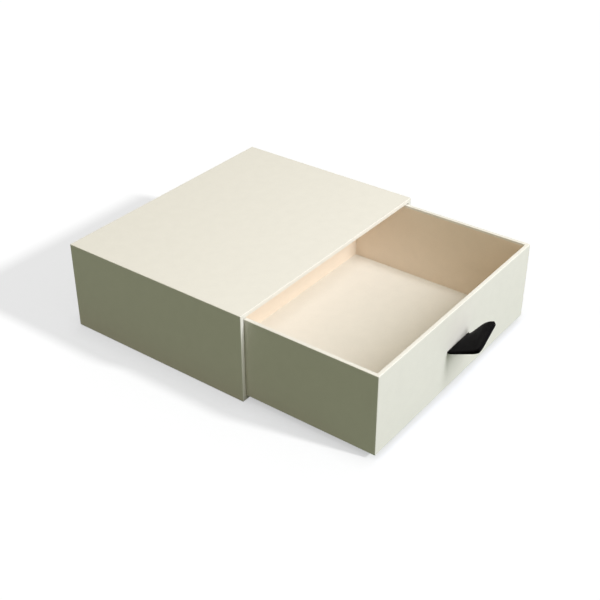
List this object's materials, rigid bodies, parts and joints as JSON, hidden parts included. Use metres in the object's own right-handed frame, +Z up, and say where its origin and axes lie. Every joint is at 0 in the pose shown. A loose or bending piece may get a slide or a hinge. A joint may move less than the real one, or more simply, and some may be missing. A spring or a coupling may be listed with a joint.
{
  "type": "sliding drawer gift box",
  "caption": "Rigid paper-wrapped gift box: an open tray slides out of a closed-back sleeve, drawn by a short ribbon loop on its front.",
  "frame": {"origin": "centre of the flat face that the sleeve stands on", "axes": "+Z up, the drawer opens towards -Y, +X is the box's width"},
  "size_m": [0.15, 0.2061, 0.05],
  "materials": {
    "outer_paper": "matt",
    "lining_paper": "matt",
    "greyboard": "matt",
    "stay_tape": "matt",
    "ribbon": "satin weave"
  },
  "bodies": {
    "sleeve": {"sleeve_top_board": "greyboard", "sleeve_bottom_board": "greyboard", "sleeve_left_board": "greyboard", "sleeve_right_board": "greyboard", "sleeve_back_board": "greyboard", "sleeve_edge_tapes": "stay_tape", "sleeve_wrap": "outer_paper", "sleeve_back_paper": "outer_paper", "sleeve_base_paper": "outer_paper", "sleeve_lining": "lining_paper", "sleeve_back_lining": "lining_paper"},
    "drawer": {"drawer_base_board": "greyboard", "drawer_front_board": "greyboard", "drawer_back_board": "greyboard", "drawer_left_board": "greyboard", "drawer_right_board": "greyboard", "drawer_corner_tapes": "stay_tape", "drawer_wrap": "outer_paper", "drawer_wall_lining": "lining_paper", "drawer_floor_lining": "lining_paper", "ribbon_tails": "ribbon"},
    "pull": {"ribbon_pull": "ribbon"}
  },
  "joints": [
    {"name": "drawer_slide", "type": "slide", "parent": "sleeve", "child": "drawer", "axis": [0, -1, 0], "range_m": [-0.075, 0.045]},
    {"name": "ribbon_bend", "type": "hinge", "parent": "drawer", "child": "pull", "pos_m": [-0.0006, -0.1325, 0.02483], "axis": [-1, 0, 0], "range_deg": [-110, 44], "stiffness_Nm_per_rad": 0.001}
  ]
}
